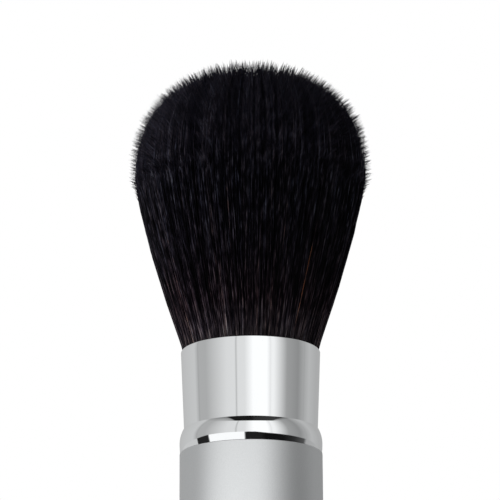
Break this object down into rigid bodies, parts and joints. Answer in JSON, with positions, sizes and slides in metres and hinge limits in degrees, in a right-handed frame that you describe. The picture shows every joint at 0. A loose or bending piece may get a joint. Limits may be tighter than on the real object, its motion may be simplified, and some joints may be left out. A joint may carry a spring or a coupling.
{
  "type": "retractable powder brush",
  "caption": "Powder brush with a full round head of black hair on a fixed post, and a polished neck tube that slides up out of a satin metal barrel to cover the hair.",
  "frame": {"origin": "middle of the underside of the base cap, with the brush standing on its base", "axes": "+Z along the brush's axis from the base to the hair, X and Y across it"},
  "size_m": [0.0405, 0.0404, 0.1358],
  "materials": {
    "satin_aluminium": "satin",
    "polished_aluminium": "polished",
    "drawn_aluminium": "as drawn",
    "zinc_plated_steel": "zinc plated",
    "black_abs": "moulded",
    "white_acetal": "moulded",
    "black_acetal": "moulded",
    "black_rubber": "matt",
    "epoxy": "cast",
    "waxed_thread": "waxed",
    "black_hair": "soft animal hair"
  },
  "bodies": {
    "handle": {"barrel": "satin_aluminium", "mouth_collar": "polished_aluminium", "guide_bush": "white_acetal", "base_cap": "polished_aluminium", "base_plug": "black_abs", "base_weight": "zinc_plated_steel", "stop_bumper": "black_rubber", "stem": "drawn_aluminium", "stem_washer": "zinc_plated_steel", "stem_screw": "zinc_plated_steel", "carrier": "black_abs", "hair_cup": "drawn_aluminium", "resin_plug": "epoxy", "root_binding": "waxed_thread", "bristles": "black_hair"},
    "sleeve": {"neck_tube": "polished_aluminium", "tube_foot": "black_acetal", "friction_ring": "black_rubber"}
  },
  "joints": [
    {"name": "sleeve_slide", "type": "slide", "parent": "handle", "child": "sleeve", "axis": [0, 0, 1], "range_m": [0, 0.0515], "deforming": ["bristles"]}
  ]
}
